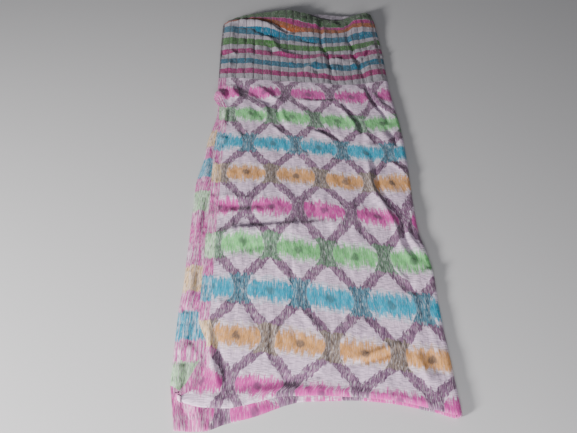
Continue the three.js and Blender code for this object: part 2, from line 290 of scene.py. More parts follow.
FAR_CREASES = creases(
    ("crumple crest", 7, 4.6, ((-92, 216), (-76, 199), (-62, 181), (-50, 167), (-40, 154)), -0.1),
    ("crumple, second arm", 5, 2.2, ((-30, 196), (-38, 180), (-45, 162))),
    ("crumple valley", 9, -3.0, ((-110, 207), (-90, 188), (-76, 170), (-58, 154))),
    ("crumple, right dip", 6, -1.6, ((-8, 200), (-20, 175), (-32, 146))),
    ("crumple shoulder", 8, 4.2, ((-143, 222), (-136, 192), (-123, 176), (-127, 156))),
    ("crumple pocket", 9, -3.0, ((-136, 213), (-118, 208), (-100, 202))),
    ("edge knob", 10, 5.5, ((-176, 198), (-165, 190), (-160, 174))),
    ("knob ring", 5, -2.4, ((-180, 213), (-160, 212), (-148, 198), (-150, 176), (-146, 150))),
    ("rim ridge", 4, 2.8, ((-153, 144), (-151, 118), (-156, 92))),
    ("rim furrow", 4, -2.4, ((-145, 150), (-146, 120), (-143, 90))),
    ("green row dip", 8, -2.2, ((-98, 152), (-86, 138), (-79, 116))),
    ("green row ridge", 4, 2.4, ((-77, 162), (-68, 142), (-65, 120), (-69, 102))),
    ("green row furrow", 4, -2.6, ((-45, 160), (-43, 125), (-40, 94))),
    ("green row swell", 6, 3.2, ((-38, 144), (-33, 112), (-25, 90))),
    ("green row nick", 5, -2.2, ((-33, 92), (-28, 68))),
    ("short ridge", 4, 2.0, ((-57, 90), (-46, 72), (-37, 60))),
    ("pink row tuck", 7, 2.6, ((-8, 164), (20, 160), (50, 158), (94, 159)), 0.2),
    ("behind the pink tuck", 5, -0.9, ((8, 170), (45, 168), (82, 167))),
    ("long furrow", 5, -3.8, ((92, 158), (99, 135), (105, 115), (114, 95), (120, 70), (124, 48))),
    ("long furrow's bank", 6, 2.8, ((83, 152), (90, 130), (97, 108), (106, 90), (112, 62))),
    ("short bank", 4, 2.2, ((121, 64), (133, 40))),
    ("right long furrow", 5.5, -4.8, ((145, 214), (149, 178), (154, 160), (160, 142), (167, 128),
        (174, 112), (178, 86))),
    ("right far bank", 7, 2.8, ((158, 184), (164, 162), (170, 146), (182, 128))),
    ("right near bank", 5, 2.2, ((141, 178), (149, 150), (156, 134), (167, 116))),
    ("right short furrow", 4.5, -3.2, ((168, 82), (178, 56), (185, 20))),
    ("right puff", 8, 3.2, ((160, 64), (168, 42), (162, 26))),
    ("right puff's edge", 5, -2.6, ((151, 64), (146, 44), (140, 28))),
    ("white tuck", 6, 3.2, ((26, 70), (42, 58), (58, 46)), 0.3),
    ("behind the white tuck", 4.5, -2.2, ((18, 82), (44, 70), (64, 57), (80, 40))),
    ("left bump", 6, 2.6, ((-160, 50), (-144, 55))),
    ("small crest", 4, 1.8, ((-2, 16), (6, 4), (11, -8))),
    ("left dip", 5, -1.6, ((-122, 80), (-112, 68), (-100, 60))),
)

END_CREASES = creases(
    ("rim swell", 10, 3.4, ((-151, 456), (-149, 400), (-152, 344)), 0.3),
    ("rim puff", 6, 3.0, ((-152, 316), (-150, 292), (-154, 272))),
    ("rim dip", 5, -2.2, ((-167, 344), (-164, 320))),
    ("corner bump", 8, 3.2, ((-164, 470), (-148, 456))),
    ("end crest", 9, 7.5, ((-156, 472), (-120, 462), (-90, 452), (-66, 440), (-46, 424),
        (-22, 410)), 0.25),
    ("end crest's foot", 5, -2.8, ((-144, 440), (-104, 438), (-88, 420), (-72, 410), (-50, 400),
        (-22, 395))),
    ("end pocket", 7, -4.4, ((-44, 434), (-24, 420), (0, 417), (18, 421))),
    ("seam furrow", 4, -4.2, ((64, 462), (63, 430), (63, 400), (60, 372), (63, 350), (68, 332),
        (72, 310), (72, 285), (77, 255), (83, 222))),
    ("seam furrow's bank", 4, 2.2, ((71, 442), (70, 410), (67, 370))),
    ("star ridge", 7, 4.4, ((68, 326), (50, 304), (36, 286), (22, 272), (6, 256))),
    ("second star ridge", 6, 3.2, ((90, 286), (72, 268), (54, 250))),
    ("star pocket", 8, -2.4, ((34, 266), (54, 271))),
    ("star bar", 6, 3.2, ((72, 305), (90, 307), (108, 304)), 0.2),
    ("star knob", 6, 3.6, ((125, 298), (130, 284), (133, 272))),
    ("right seam furrow", 4.5, -4.2, ((131, 462), (129, 430), (124, 400), (124, 378), (131, 348),
        (129, 322), (138, 300), (141, 272), (144, 246), (147, 210))),
    ("slanting ridge", 5, 3.2, ((188, 368), (170, 347), (160, 334), (147, 314))),
    ("slanting furrow", 4, -2.8, ((180, 352), (165, 333), (152, 310), (146, 292))),
    ("near slanting ridge", 5, 2.8, ((193, 324), (176, 304), (154, 278))),
    ("near slanting furrow", 4, -2.2, ((191, 313), (172, 296), (150, 284))),
    ("left thread furrow", 3.5, -2.2, ((-95, 406), (-95, 366), (-93, 326))),
    ("far left thread furrow", 3, -1.6, ((-116, 406), (-115, 376))),
    ("middle slant", 7, 3.8, ((-74, 404), (-58, 388), (-48, 368), (-44, 350), (-34, 334),
        (-10, 325), (8, 320))),
    ("middle slant's dip", 8, -2.8, ((-66, 376), (-58, 350), (-49, 326))),
    ("left puff", 6, 3.0, ((-152, 348), (-142, 334), (-132, 329))),
    ("small puff", 6, 2.2, ((-20, 292), (-10, 297))),
    ("curved dip", 5, -2.6, ((6, 396), (28, 379), (48, 374), (58, 387))),
    ("end ruffle", 6, 3.4, ((4, 454), (30, 465))),
    ("second end ruffle", 6, 5.0, ((44, 436), (54, 450), (64, 464))),
    ("third end ruffle", 8, 5.0, ((82, 455), (96, 442), (110, 434))),
    ("right end ruffle", 7, 3.4, ((140, 450), (154, 458), (172, 467))),
    ("right end upright", 6, 2.8, ((160, 452), (162, 424), (160, 396))),
)

# The third layer's border puffs up beside the top layer.
BORDER_PUFFS = creases(
    ("corner puff", 8, 3.0, ((-194, -440), (-190, -416), (-190, -392))),
    ("corner dent", 4, -1.2, ((-182, -444), (-178, -420), (-182, -396))),
    ("crease across", 5, -2.6, ((-200, -398), (-184, -400), (-168, -392))),
    ("pink puff", 8, 3.0, ((-196, -384), (-184, -380), (-172, -376))),
    ("blue dent", 5, -2.4, ((-178, -372), (-176, -352), (-170, -330))),
    ("middle puff", 8, 2.6, ((-188, -316), (-184, -270), (-184, -226))),
    ("slanting dent", 4, -2.0, ((-198, -312), (-184, -318), (-172, -306))),
    ("tan dent", 4, -1.8, ((-178, -292), (-176, -270), (-178, -246))),
    ("far puff", 7, 2.0, ((-184, -196), (-182, -150), (-182, -100))),
    ("far dent", 4, -1.8, ((-176, -170), (-174, -130), (-172, -90))),
    ("last puff", 6, 1.8, ((-180, -60), (-178, -20), (-176, 30))),
)

# Creases that cross the lower of the two cross folds.
LOWER_FOLD_CREASES = creases(
    ("dark corner", 7, -3.2, ((-180, -450), (-175, -470), (-166, -494))),
    ("corner rib", 7, 2.8, ((-164, -450), (-158, -472), (-150, -498))),
    ("neck dent", 8, -2.4, ((-132, -454), (-124, -470), (-118, -488))),
    ("middle rib", 10, 1.8, ((-100, -454), (-80, -466), (-60, -476))),
    ("right dent", 7, -1.6, ((-60, -450), (-50, -460), (-44, -470))),
)

# Where each row of ovals crosses the top layer, at these places across it, and the middles of the
# four ovals in it, from the left. Even rows have theirs on the lattice's own lines, and odd ones
# halfway between.
ROW_PLACES = np.array((-0.168, -0.110, -0.050, 0.010, 0.070, 0.130, 0.188))
ROW_LINES = (
    ("pink, at the fold", (-0.427, -0.433, -0.442, -0.453, -0.459, -0.467, -0.475)),
    ("tan, near", (-0.356, -0.364, -0.373, -0.383, -0.395, -0.403, -0.411)),
    ("turquoise, near", (-0.281, -0.283, -0.288, -0.301, -0.312, -0.321, -0.331)),
    ("green, near", (-0.201, -0.197, -0.207, -0.219, -0.230, -0.236, -0.242)),
    ("pink, middle", (-0.118, -0.118, -0.120, -0.127, -0.137, -0.150, -0.160)),
    ("tan, far", (-0.035, -0.038, -0.043, -0.053, -0.068, -0.072, -0.071)),
    ("turquoise, far", (0.047, 0.041, 0.036, 0.028, 0.016, 0.005, 0.004)),
    ("green, far", (0.136, 0.127, 0.119, 0.106, 0.100, 0.086, 0.092)),
    ("pink, far", (0.185, 0.191, 0.191, 0.184, 0.174, 0.171, 0.175)),
)
ROW_OVALS = (
    ("pink, at the fold", (-0.157, -0.080, 0.012, 0.109)),
    ("tan, near", (-0.111, -0.018, 0.073, 0.167)),
    ("turquoise, near", (-0.153, -0.061, 0.030, 0.122)),
    ("green, near", (-0.106, -0.015, 0.076, 0.169)),
    ("pink, middle", (-0.150, -0.058, 0.033, 0.124)),
    ("tan, far", (-0.105, -0.013, 0.075, 0.159)),
    ("turquoise, far", (-0.150, -0.055, 0.033, 0.121)),
    ("green, far", (-0.099, -0.016, 0.076, 0.164)),
    ("pink, far", (-0.160, -0.073, 0.020, 0.110)),
)

# The same for the lines across the striped end, with how far along the flat cloth each one is.
STRIPE_PLACES = np.array(
    (-0.165, -0.105, -0.070, -0.040, -0.010, 0.020, 0.065, 0.090, 0.115, 0.140, 0.165, 0.188)
)
STRIPE_LINES = (
    ("first magenta", 0.028,
     (0.269, 0.269, 0.263, 0.258, 0.253, 0.251, 0.242, 0.234, 0.236, 0.244, 0.257, 0.260)),
    ("first turquoise", 0.063,
     (0.308, 0.307, 0.297, 0.291, 0.286, 0.286, 0.280, 0.277, 0.273, 0.278, 0.292, 0.296)),
    ("second magenta", 0.099,
     (0.340, 0.345, 0.334, 0.329, 0.318, 0.316, 0.322, 0.318, 0.316, 0.323, 0.329, 0.335)),
    ("green", 0.132,
     (0.383, 0.381, 0.376, 0.363, 0.357, 0.350, 0.347, 0.347, 0.350, 0.355, 0.365, 0.373)),
    ("second turquoise", 0.170,
     (0.438, 0.422, 0.411, 0.399, 0.395, 0.386, 0.380, 0.381, 0.383, 0.391, 0.398, 0.401)),
    ("end of the white", 0.202,
     (0.460, 0.470, 0.456, 0.436, 0.418, 0.412, 0.410, 0.409, 0.411, 0.427, 0.427, 0.426)),
    ("end of the orange", 0.232,
     (0.464, 0.476, 0.466, 0.456, 0.440, 0.428, 0.426, 0.424, 0.422, 0.441, 0.442, 0.442)),
    ("end of the magenta", 0.250,
     (0.467, 0.478, 0.472, 0.466, 0.459, 0.449, 0.437, 0.432, 0.430, 0.450, 0.455, 0.454)),
)

# Places of the dark lengthwise threads: which thread, counted from the left, lies where.
DARK_THREADS = table(
    "across thread",
    (-0.172, -1.0),
    (-0.154, 0.0),
    (-0.096, 3.0),
    (-0.019, 7.0),
    (0.030, 10.0),
    (0.086, 14.0),
    (0.135, 17.0),
    (0.188, 20.0),
)


# ---------------------------------------------------------------------------- the folded form


def follow(rows, value, at):
    """One column of a table at places along its first one, on a curve with no overshoot."""
    spots, levels = next(iter(rows.values())), rows[value]
    gaps = np.diff(spots)
    steps = np.diff(levels) / gaps
    slopes = np.zeros_like(levels)
    before, after = steps[:-1], steps[1:]
    runs_on = before * after > 0
    slopes[1:-1][runs_on] = (2 * before * after)[runs_on] / (before + after)[runs_on]
    spot = np.clip(at, spots[0], spots[-1])
    row = np.clip(np.searchsorted(spots, spot, side="right") - 1, 0, len(gaps) - 1)
    t = (spot - spots[row]) / gaps[row]
    return (
        (2 * t**3 - 3 * t**2 + 1) * levels[row]
        + (t**3 - 2 * t**2 + t) * slopes[row] * gaps[row]
        + (3 * t**2 - 2 * t**3) * levels[row + 1]
        + (t**3 - t**2) * slopes[row + 1] * gaps[row]
    )


def smoothstep(value, low, high):
    t = np.clip((value - low) / (high - low), 0, 1)
    return t * t * (3 - 2 * t)


def relief(folds, x, y):
    """Height that a list of creases adds at each point."""
    height = np.zeros_like(x)
    for crease in folds:
        route = np.array(crease.route) * MM
        runs = np.diff(route, axis=0)
        lengths = np.hypot(*runs.T)
        starts = np.concatenate(([0], np.cumsum(lengths)))
        nearest, side, along = np.full_like(x, np.inf), np.zeros_like(x), np.zeros_like(x)
        for (x0, y0), (run_x, run_y), length, start in zip(route, runs, lengths, starts):
            t = np.clip(((x - x0) * run_x + (y - y0) * run_y) / length**2, 0, 1)
            off_x, off_y = x - x0 - t * run_x, y - y0 - t * run_y
            away = np.hypot(off_x, off_y)
            closer = away < nearest
            nearest = np.where(closer, away, nearest)
            side = np.where(closer, np.sign(run_y * off_x - run_x * off_y), side)
            along = np.where(closer, (start + t * length) / starts[-1], along)
        half = crease.half * MM * (1 + crease.lean * side)
        fading = np.sqrt(np.sin(np.pi * along))
        height += crease.rise * MM * fading * np.exp(-((nearest / half) ** 2))
    return height


# The small wrinkles: how often they come across and along, per metre, the seed, and the height.
WRINKLES = ((17, 12, 0.0, 1.7), (42, 24, 5.0, 1.1), (105, 38, 3.0, 1.0), (240, 120, 7.0, 0.40))


def wrinkles(x, y):
    """Small uneven relief of soft cloth, finer across than along."""
    height = np.zeros_like(x)
    for across, along, seed, size in WRINKLES:
        waves = [noise.noise(Vector((u * across, v * along, seed))) for u, v in zip(x, y)]
        height += size * np.array(waves)
    return MM * height


def upper_nose(x):
    return follow(CROSS_FOLDS, "upper", x)


def lower_nose(x):
    return follow(CROSS_FOLDS, "lower", x)


def fold_back(x):
    return upper_nose(x) + FOLD_DEPTH


def top_left(y):
    return follow(TOP_EDGE, "left", y)


def lower_left(y):
    return follow(LOWER_EDGE, "left", y)


def side_seam(y):
    """Where the flat stretches meet the lengthwise fold."""
    return follow(SIDE_FOLD, "right", y) - SIDE_REACH


def stripe_start(x):
    return follow(STRIPE_START, "along", x)


def far_end(x):
    return follow(FAR_END, "end", x)


def hidden_end(x):
    return follow(FAR_END, "hidden", x)


def puckers(x, y):
    """Small puffs between the dark threads of the striped end."""
    thread = follow(DARK_THREADS, "thread", x)
    off = np.abs(thread - np.round(thread)) * THREAD_PITCH
    in_stripes = smoothstep(y - stripe_start(x), *PUCKER_FADE)
    return -PUCKER_DEPTH * in_stripes * np.exp(-((off / PUCKER_HALF) ** 2))


def top_height(x, y):
    """Upper face of the top layer."""
    end = far_end(x)
    lift = follow(FAR_END, "lift", x) * smoothstep(y, end - END_BEND, end)
    from_edge = np.maximum(x - top_left(y), 0)
    behind_fold = smoothstep(y - fold_back(x), 0, DROOP_RUN)
    droop = EDGE_DROOP * behind_fold * np.exp(-from_edge / DROOP_WIDTH)
    folds = NEAR_CREASES + MIDDLE_CREASES + FAR_CREASES + END_CREASES
    return STACK + lift - droop + relief(folds, x, y) + wrinkles(x, y) + puckers(x, y)


def between(near, far):
    """The lines across the scarf from one line to another, as a share of the way along."""
    return lambda share: lambda x: near(x) + (far(x) - near(x)) * share


def place(across, line, left_at, right_at=side_seam):
    """Points a share of the way across between two edges, on a line across."""
    y = line(np.zeros_like(across))
    x = y
    for _ in range(8):
        x = left_at(y) + (right_at(y) - left_at(y)) * across
        y = line(x)
    return x, y


body_lines = between(fold_back, stripe_start)
end_lines = between(stripe_start, far_end)


# ---------------------------------------------------------------------------- the woven pattern


def lines_at(x, places, lines):
    """Where each of a list of lines crosses, at each point across. One row for each line."""
    return np.array([np.interp(x, places, line[-1]) for line in lines])


def share_between(levels, value):
    """Which two of the rising levels a value lies between, and its share of the way."""
    below = np.clip((levels <= value).sum(axis=0) - 1, 0, len(levels) - 2)
    column = np.arange(levels.shape[1])
    low, high = levels[below, column], levels[below + 1, column]
    return below, (value - low) / (high - low)


def ovals_across(row, x):
    """Cells across, counted from the first oval of the even rows, along one row of ovals."""
    middles = np.array(ROW_OVALS[row][1])
    cells = np.arange(len(middles)) + (0.5 if row % 2 else 0.0)
    first, last = middles[1] - middles[0], middles[-1] - middles[-2]
    inside = np.interp(x, middles, cells)
    before, after = (x - middles[0]) / first, (x - middles[-1]) / last
    return inside + np.minimum(before, 0) + np.maximum(after, 0)


def lattice_at(x, y):
    """Flat place on the woven lattice of points on the top layer."""
    levels = np.vstack((lines_at(x, ROW_PLACES, ROW_LINES), stripe_start(x)))
    marks = np.array([*range(len(ROW_LINES)), STRIPES_AT / ROW])
    row, share = share_between(levels, y)
    across = [ovals_across(n, x) for n in range(len(ROW_OVALS))]
    across = np.array([*across, across[-1]])
    column = np.arange(len(x))
    clipped = np.clip(share, 0, 1)
    here, beyond = across[row, column], across[row + 1, column]
    along = marks[row] + (marks[row + 1] - marks[row]) * share
    return CELL * (here + (beyond - here) * clipped), ROW * along


def stripes_at(x, y):
    """Flat place on the striped end of points on the top layer."""
    start = stripe_start(x)
    levels = np.vstack((start, lines_at(x, STRIPE_PLACES, STRIPE_LINES), far_end(x)))
    marks = np.array([0.0, *(line[1] for line in STRIPE_LINES), CLOTH_END])
    row, share = share_between(levels, y)
    along = marks[row] + (marks[row + 1] - marks[row]) * share
    return follow(DARK_THREADS, "thread", x) * THREAD_PITCH, STRIPES_AT + along


def weave_at(x, y):
    """Flat place of points on the top layer, in metres across and along the woven cloth."""
    in_stripes = y >= stripe_start(x) - 1e-9
    lattice, stripes = lattice_at(x, y), stripes_at(x, y)
    return [np.where(in_stripes, s, w) for s, w in zip(stripes, lattice)]


def border_weave_at(x, y):
    """The same for the third layer, which runs the other way from the fold."""
    return x - lower_left(y) - BORDER, -(y + BORDER_START) * ROW / BORDER_ROW


def lower_fold_weave_at(x, y):
    """The same on the lower cross fold, whose pink row lies along its nose."""
    return x - lower_left(y) - BORDER, -(y + LOWER_PINK_ROW)


# ---------------------------------------------------------------------------- making cloth


def cloth(name, columns, rows, form):
    """A piece of cloth from a flat grid, each point of which form() puts in its folded place.

    form takes the shares across and along of every point, and gives its place, its flat place on
    the woven pattern and how far it lies from the selvedge.
    """
    bm = bmesh.new()
    bmesh.ops.create_grid(bm, x_segments=columns, y_segments=rows, size=0.5)
    shares = np.array([v.co[:2] for v in bm.verts]) + 0.5
    points, weave, from_edge = form(*shares.T)
    edge_layer = bm.verts.layers.float.new("from_edge")
    for vert, point, off in zip(bm.verts, np.array(points).T, from_edge):
        vert.co = point
        vert[edge_layer] = off
    weave_layer = bm.loops.layers.uv.new("Weave")
    weave = np.array(weave).T
    for face in bm.faces:
        face.smooth = True
        for loop in face.loops:
            loop[weave_layer].uv = weave[loop.vert.index]
    for edge in bm.edges:
        edge.smooth = not edge.is_boundary
    mesh = bpy.data.meshes.new(name)
    bm.to_mesh(mesh)
    bm.free()
    piece = bpy.data.objects.new(name, mesh)
    bpy.context.scene.collection.objects.link(piece)
    return piece


def finish(piece, nodes, material, sizes):
    """Gives the cloth its thickness and finish, hangs it under the root body, and hides the parts
    of the model that it stands for.
    """
    wall = piece.modifiers.new("Cloth thickness", "SOLIDIFY")
    wall.thickness = sizes.thickness
    wall.offset = -1
    piece.data.materials.append(material)
    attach(piece, "root")
    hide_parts(*nodes)


def top_form(lines):
    def form(across, along):
        x, y = place(across, lines(along), top_left)
        return (x, y, top_height(x, y)), weave_at(x, y), x - top_left(y)

    return form


def roll(turn, reach, low, high):
    """Half round of a fold, from its foot (0) to its top (1): how far out, and how high."""
    angle = math.pi * turn
    return reach * np.sin(angle), (high + low) / 2 - (high - low) / 2 * np.cos(angle)


def upper_fold_form(across, along):
    """Upper cross fold, from under its back edge, round its nose and on to its back edge."""
    low = LOWER_PAIR + LAYER_GAP
    return cross_fold(across, along, upper_nose, top_left, low, top_height, lattice_at, -1)


def lower_fold_form(across, along):
    """The same for the lower one, which rests on the floor."""
    def height(x, y):
        return LOWER_PAIR + relief(LOWER_FOLD_CREASES, x, y) + LOWER_WRINKLES * wrinkles(x, y)

    points, weave, from_edge = cross_fold(
        across, along, lower_nose, lower_left, 0.0, height, lower_fold_weave_at, 1
    )
    return points, weave, from_edge / BORDER_STRETCH


# Shares of the rows of a cross fold: the underside, the roll round the nose, and the upper face.
FOOT_SHARE, TOP_SHARE = 0.12, 0.62


def cross_fold(across, along, nose, left_at, low, height, weave, forwards):
    """A fold along the near edge. forwards is 1 where the woven rows run on past its nose, and
    -1 where they run back."""
    back_x, back_y = place(across, fold_back, left_at)
    tangent_x, tangent_y = place(across, lambda x: nose(x) + ROLL_REACH, left_at)
    turn = np.clip((along - FOOT_SHARE) / (TOP_SHARE - FOOT_SHARE), 0, 1)
    under = np.clip(1 - along / FOOT_SHARE, 0, 1)
    over = np.clip((along - TOP_SHARE) / (1 - TOP_SHARE), 0, 1)
    back = np.maximum(under, over)
    x = tangent_x + (back_x - tangent_x) * back
    flat_y = tangent_y + (back_y - tangent_y) * back
    high = height(x, flat_y)
    out, z = roll(turn, ROLL_REACH, low, high)
    y = flat_y - out
    weave_x, _ = weave(back_x, back_y)
    _, nose_row = weave(tangent_x, tangent_y)
    _, over_row = weave(x, flat_y)
    round_nose = (1 - turn) * math.pi / 2 * (ROLL_REACH + (high - low) / 2) * FLATTENED
    past_nose = round_nose + under * (back_y - tangent_y)
    row = np.where(over > 0, over_row, nose_row + forwards * past_nose)
    return (x, y, z), (weave_x, row), x - left_at(flat_y)


def side_fold_form(across, along):
    """Lengthwise fold, from its seam with the top stretches over and down to the floor. Its near
    end is a rounded corner, and its rows further on are the same ones as the stretches have."""
    rows = SIDE_ROWS
    step = along * rows.total
    corner = np.clip(step / rows.corner, 0, 1)
    body = np.clip((step - rows.corner) / rows.body, 0, 1)
    end = np.clip((step - rows.corner - rows.body) / rows.end, 0, 1)
    one = np.ones_like(along)
    body_x, body_y = place(one, body_lines(body), top_left)
    end_x, end_y = place(one, end_lines(end), top_left)
    x, y = np.where(end > 0, end_x, body_x), np.where(end > 0, end_y, body_y)
    nose_y = lower_nose(x) - SIDE_NOSE_OUT
    tangent_y = nose_y + ROLL_REACH
    back = smoothstep(corner, 0.0, 1.0)
    quarter = np.clip(corner * 2, 0, 1)
    shrink = np.where(corner < 1, np.sqrt(np.clip(1 - (1 - quarter) ** 2, 0, 1)), 1.0)
    near_y = np.where(
        corner < 0.5,
        tangent_y - ROLL_REACH * (1 - quarter),
        tangent_y + (fold_back(x) - tangent_y) * (2 * corner - 1),
    )
    y = np.where(corner < 1, near_y, y)
    high = top_height(x, y)
    out, z = roll(1 - across, SIDE_REACH, 0.0, high)
    middle = high / 2
    z = middle + (z - middle) * shrink
    weave_x, row = weave_at(x, y)
    arc = across * math.pi / 2 * (SIDE_REACH + high / 2) * FLATTENED
    return (x + out * shrink, y, z), (weave_x + arc, row), SIDE_FROM_EDGE * one


class SideRows(NamedTuple):
    """How many rows of points each stretch of the lengthwise fold has."""

    corner: int
    body: int
    end: int

    @property
    def total(self):
        return self.corner + self.body + self.end


SIDE_ROWS = SideRows(10, BODY_ROWS, END_ROWS)


def border_form(across, along):
    """The third layer's border, from its free edge to well under the top layer."""
    def line(x):
        return fold_back(x) + (hidden_end(x) - fold_back(x)) * along

    x, y = place(across, line, lower_left, border_inner)
    from_edge = x - lower_left(y)
    comes_in = smoothstep(y, BORDER_DROOP_FROM, BORDER_DROOP_TO)
    droop = BORDER_DROOP * np.exp(-from_edge / BORDER_DROOP_WIDTH) * comes_in
    z = LOWER_PAIR + relief(BORDER_PUFFS, x, y) + LOWER_WRINKLES * wrinkles(x, y) - droop
    return (x, y, z), border_weave_at(x, y), from_edge / BORDER_STRETCH


def border_inner(y):
    """Inner edge of the border strip, well under the top layer."""
    return top_left(y) + BORDER_UNDERLAP


def under_form(across, along):
    """The bottom layer, which lies flat on the floor."""
    def line(x):
        return fold_back(x) + (hidden_end(x) - UNDER_INSET - fold_back(x)) * along

    x, y = place(across, line, lambda at: lower_left(at) + UNDER_INSET)
    z = np.full_like(x, UNDER_TOP)
    return (x, y, z), border_weave_at(x, y), x - lower_left(y)


def hidden_form(across, along):
    """Second and third layers, one sheet that turns round inside the lengthwise fold. across runs
    from the second layer's free edge, through the turn, and back to the border strip."""
    def line(x):
        near = fold_back(x) + HIDDEN_START
        return near + (hidden_end(x) - near) * along

    def inner_seam(y):
        return side_seam(y) - INNER_SEAM_INSET

    def second_edge(y):
        return top_left(y) + SECOND_LAYER_INSET

    second = np.clip(across / HIDDEN_FLAT, 0, 1)
    turn = np.clip((across - HIDDEN_FLAT) / HIDDEN_TURN, 0, 1)
    third = np.clip((across - (HIDDEN_FLAT + HIDDEN_TURN)) / HIDDEN_FLAT, 0, 1)
    second_x, second_y = place(second, line, second_edge, inner_seam)
    third_x, third_y = place(1 - third, line, border_inner, inner_seam)
    on_third = across > 0.5
    x, y = np.where(on_third, third_x, second_x), np.where(on_third, third_y, second_y)
    near_end = smoothstep(y, hidden_end(x) - HIDDEN_END_RUN, hidden_end(x))
    high = top_height(x, y) - SECOND_LAYER_DROP - HIDDEN_END_THIN * near_end
    sag = HIDDEN_END_SAG * np.sin(x * HIDDEN_END_WAVES) * near_end
    low = LOWER_PAIR + LOWER_WRINKLES * wrinkles(x, y) + sag
    out, z = roll(1 - turn, INNER_TURN_REACH, low, high)
    weave_x, row = weave_at(x, y)
    return (x + out, y, z), (weave_x, row), np.full_like(x, HIDDEN_FROM_EDGE)


# ---------------------------------------------------------------------------- material nodes


def linear(colour):
    """A colour as the eye sees it (0 to 255), as the light that the shader works with."""
    shares = np.array(colour) / 255
    light = np.where(shares <= 0.04045, shares / 12.92, ((shares + 0.055) / 1.055) ** 2.4)
    return (*light, 1.0)


class Wire:
    """A number in a node tree. Plain arithmetic on it adds Math nodes."""

    def __init__(self, tree, socket):
        self.tree = tree
        self.socket = socket

    def math(self, operation, *others):
        node = self.tree.nodes.new("ShaderNodeMath")
        node.operation = operation
        for socket, value in zip(node.inputs, (self, *others)):
            feed(self.tree, socket, value)
        return Wire(self.tree, node.outputs[0])

    def __add__(self, other):
        return self.math("ADD", other)

    def __sub__(self, other):
        return self.math("SUBTRACT", other)

    def __rsub__(self, other):
        return (self * -1).math("ADD", other)

    def __mul__(self, other):
        return self.math("MULTIPLY", other)

    def __truediv__(self, other):
        return self.math("DIVIDE", other)

    def clamped(self):
        return self.math("MAXIMUM", 0.0).math("MINIMUM", 1.0)

    def rises(self, low, high):
        """0 below low, 1 above high, and a soft edge between."""
        node = self.tree.nodes.new("ShaderNodeMapRange")
        node.interpolation_type = "SMOOTHSTEP"
        for socket, value in zip(node.inputs, (self, low, high, 0.0, 1.0)):
            feed(self.tree, socket, value)
        return Wire(self.tree, node.outputs[0])


def feed(tree, socket, value):
    if isinstance(value, Wire):
        tree.links.new(value.socket, socket)
    else:
        socket.default_value = value


def mixed(tree, share, low, high, blend="MIX"):
    """Two colours mixed."""
    node = tree.nodes.new("ShaderNodeMix")
    node.data_type = "RGBA"
    node.blend_type = blend
    for name, value in (("Factor_Float", share), ("A_Color", low), ("B_Color", high)):
        socket = next(s for s in node.inputs if s.identifier == name)
        feed(tree, socket, value)
    return Wire(tree, next(s for s in node.outputs if s.identifier == "Result_Color"))


def joined(tree, *numbers):
    """A vector from its numbers."""
    node = tree.nodes.new("ShaderNodeCombineXYZ")
    for socket, value in zip(node.inputs, numbers):
        feed(tree, socket, value)
    return Wire(tree, node.outputs[0])


def cloudy(tree, vector, detail=2.0):
    """Smooth noise from 0 to 1."""
    node = tree.nodes.new("ShaderNodeTexNoise")
    node.inputs["Scale"].default_value = 1.0
    node.inputs["Detail"].default_value = detail
    feed(tree, node.inputs["Vector"], vector)
    return Wire(tree, node.outputs["Fac"])


def speckle(tree, vector):
    """A different number from 0 to 1 for each whole place."""
    node = tree.nodes.new("ShaderNodeTexWhiteNoise")
    node.noise_dimensions = "3D"
    feed(tree, node.inputs["Vector"], vector)
    return Wire(tree, node.outputs["Value"])


def colour_bands(tree, value, bands):
    """Colours that follow each other without blending. bands are (start, colour) pairs."""
    node = tree.nodes.new("ShaderNodeValToRGB")
    ramp = node.color_ramp
    ramp.interpolation = "CONSTANT"
    ramp.elements[1].position = 1.0
    ramp.elements[1].color = bands[-1][1]
    ramp.elements[0].position = bands[0][0]
    ramp.elements[0].color = bands[0][1]
    for start, colour in bands[1:]:
        stop = ramp.elements.new(start)
        stop.color = colour
    feed(tree, node.inputs[0], value)
    return Wire(tree, node.outputs[0])


def new_group(name, inputs, outputs):
    """A node group with named sockets, and wires from its inputs and its end node."""
    tree = bpy.data.node_groups.new(name, "ShaderNodeTree")
    for title, kind, default in inputs:
        socket = tree.interface.new_socket(title, in_out="INPUT", socket_type=kind)
        if default is not None:
            socket.default_value = default
    for title, kind in outputs:
        tree.interface.new_socket(title, in_out="OUTPUT", socket_type=kind)
    start = tree.nodes.new("NodeGroupInput")
    end = tree.nodes.new("NodeGroupOutput")
    wires = {title: Wire(tree, start.outputs[title]) for title, _, _ in inputs}
    return tree, wires, end


NUMBER, COLOUR = "NodeSocketFloat", "NodeSocketColor"
FLAT_PLACE = (("Across", NUMBER, 0.0), ("Along", NUMBER, 0.0))
ONE_COLOUR = (("Color", COLOUR),)

# Painted shade in the gaps between the threads, and a painted sheen on the raised threads
GAP_SHADE = (0.24, 0.20, 0.26, 1.0)
BACK_AND_SHEEN_COLOUR = (0.94, 0.90, 0.96, 1.0)


def grain_shade_and_sheen_group():
    """Uneven threads all over the cloth: their own uneven tone, with painted shade in the gaps
    between them and a painted sheen on the raised threads.
    """
    inputs = (("Color", COLOUR, None), *FLAT_PLACE)
    tree, wires, end = new_group("Thread grain, painted shade and sheen", inputs, ONE_COLOUR)
    across, along = wires["Across"], wires["Along"]
    gaps = cloudy(tree, joined(tree, across * 860, along * 95, 11.0), 2.0).rises(0.47, 0.60)
    sheen_on_raised_threads = cloudy(tree, joined(tree, across * 780, along * 105, 17.0), 2.0).rises(0.53, 0.66)
    # The gaps get painted shade, then the raised threads get a painted sheen
    colour = mixed(tree, gaps * 0.74, wires["Color"], GAP_SHADE, "MULTIPLY")
    colour = mixed(tree, sheen_on_raised_threads * 0.34, colour, BACK_AND_SHEEN_COLOUR)
    tree.links.new(colour.socket, end.inputs["Color"])
    return tree


